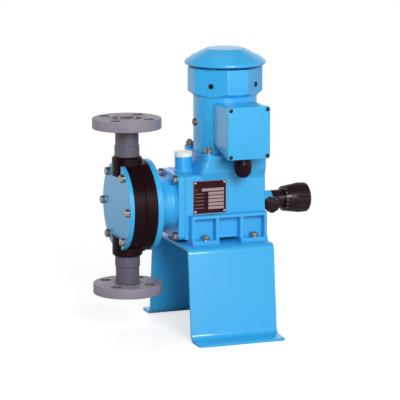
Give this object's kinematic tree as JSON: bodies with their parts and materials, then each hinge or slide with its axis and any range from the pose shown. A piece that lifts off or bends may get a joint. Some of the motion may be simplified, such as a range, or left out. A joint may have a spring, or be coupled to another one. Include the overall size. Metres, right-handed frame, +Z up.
{
  "type": "diaphragm metering pump",
  "caption": "Motor-driven diaphragm metering pump on a bent sheet stand: flanged ports, ball valves, worm drive in a ribbed housing, stroke knob, terminal box and rain cap.",
  "frame": {"origin": "centre of the four anchor holes, on the floor face of the stand's feet", "axes": "+Z up, +X from the pump head towards the stroke knob, -Y towards the terminal box and nameplate"},
  "size_m": [0.4136, 0.3182, 0.513],
  "materials": {
    "blue_paint": "semi-gloss light blue enamel over castings and bent sheet",
    "stainless_bolts": "bright stainless",
    "black_screws": "blackened steel",
    "black_head": "black moulded plastic with a soft sheen",
    "grey_pvc": "turned grey plastic",
    "machined_steel": "turned and ground steel",
    "bearing_steel": "polished steel",
    "bronze": "machined bronze",
    "white_cap": "white moulded plastic",
    "plug_brass": "dulled brass",
    "seal_rubber": "black rubber",
    "diaphragm_rubber": "plastic-faced rubber",
    "ceramic_ball": "polished ceramic",
    "core_steel": "stacked steel",
    "cast_aluminium": "die cast",
    "black_plastic": "black moulded plastic",
    "plate_finish": "printed dark red metal plate, no lettering"
  },
  "bodies": {
    "root": {"adapter": "blue_paint", "adapter_bolts": "stainless_bolts", "bearing_cover": "blue_paint", "bearing_cover_screws": "stainless_bolts", "cable_gland": "black_plastic", "cover_plate": "blue_paint", "diaphragm": "diaphragm_rubber", "discharge_flange": "grey_pvc", "discharge_pipe": "grey_pvc", "drain_plug": "plug_brass", "fan_cover": "blue_paint", "fan_cover_screws": "black_screws", "foot_bolts": "stainless_bolts", "gear_housing": "blue_paint", "head_bolts": "stainless_bolts", "lid_screws": "black_screws", "motor_bearings": "bearing_steel", "motor_end_shield": "blue_paint", "motor_flange": "blue_paint", "motor_frame": "blue_paint", "motor_plug": "plug_brass", "motor_studs": "stainless_bolts", "nameplate": "plate_finish", "nameplate_rivets": "stainless_bolts", "pump_head": "black_head", "rain_cap": "blue_paint", "return_spring": "bearing_steel", "rod_bush": "bronze", "rod_seal": "seal_rubber", "scale_barrel": "black_plastic", "stand": "blue_paint", "stator": "core_steel", "suction_flange": "grey_pvc", "suction_pipe": "grey_pvc", "terminal_block": "black_plastic", "terminal_box": "blue_paint", "terminal_lid": "blue_paint", "valve_cages": "grey_pvc", "valve_seats": "grey_pvc", "wheel_bearings": "bearing_steel", "worm_bearings": "bearing_steel"},
    "motor_rotor": {"motor_shaft": "machined_steel", "rotor": "cast_aluminium", "fan": "black_plastic", "coupling_hubs": "core_steel", "coupling_spider": "seal_rubber", "worm_shaft": "machined_steel"},
    "wheel_set": {"worm_wheel": "bronze", "wheel_shaft": "machined_steel", "eccentrics": "machined_steel"},
    "drive_rod": {"push_rod": "machined_steel", "yoke": "machined_steel", "diaphragm_plates": "machined_steel"},
    "stroke_stop": {"stop_plunger": "machined_steel"},
    "stroke_dial": {"adjusting_spindle": "machined_steel", "stroke_knob": "black_plastic"},
    "lock_screw": {"lock_knob": "black_plastic"},
    "filler_cap": {"oil_cap": "white_cap"},
    "suction_valve": {"suction_ball": "ceramic_ball"},
    "discharge_valve": {"discharge_ball": "ceramic_ball"}
  },
  "joints": [
    {"name": "motor_spin", "type": "hinge", "parent": "root", "child": "motor_rotor", "pos_m": [0.0245, 0, 0.2345], "axis": [0, 0, 1], "continuous": true},
    {"name": "wheel_spin", "type": "hinge", "parent": "root", "child": "wheel_set", "pos_m": [-0.018, 0, 0.2345], "axis": [0, 1, 0], "continuous": true},
    {"name": "rod_slide", "type": "slide", "parent": "root", "child": "drive_rod", "axis": [-1, 0, 0], "range_m": [-0.005, 0], "deforming": ["return_spring", "diaphragm"]},
    {"name": "knob_travel", "type": "slide", "parent": "root", "child": "stroke_stop", "axis": [-1, 0, 0], "range_m": [0, 0.00501]},
    {"name": "knob_turn", "type": "hinge", "parent": "stroke_stop", "child": "stroke_dial", "pos_m": [0.15, 0, 0.228], "axis": [-1, 0, 0], "range_deg": [0, 1800]},
    {"name": "lock_turn", "type": "hinge", "parent": "root", "child": "lock_screw", "pos_m": [0.105, 0, 0.228], "axis": [0, -0.9903, -0.1392], "range_deg": [0, 360]},
    {"name": "cap_lift", "type": "slide", "parent": "root", "child": "filler_cap", "axis": [0, 0, 1], "range_m": [0, 0.03]},
    {"name": "suction_ball_lift", "type": "slide", "parent": "root", "child": "suction_valve", "axis": [0, 0, 1], "range_m": [0, 0.003]},
    {"name": "discharge_ball_lift", "type": "slide", "parent": "root", "child": "discharge_valve", "axis": [0, 0, 1], "range_m": [0, 0.003]}
  ],
  "couplings": [
    {"joint": "wheel_spin", "follows": "motor_spin", "ratio": 0.041667},
    {"joint": "knob_travel", "follows": "knob_turn", "m_per_rad": 0.00015915}
  ]
}
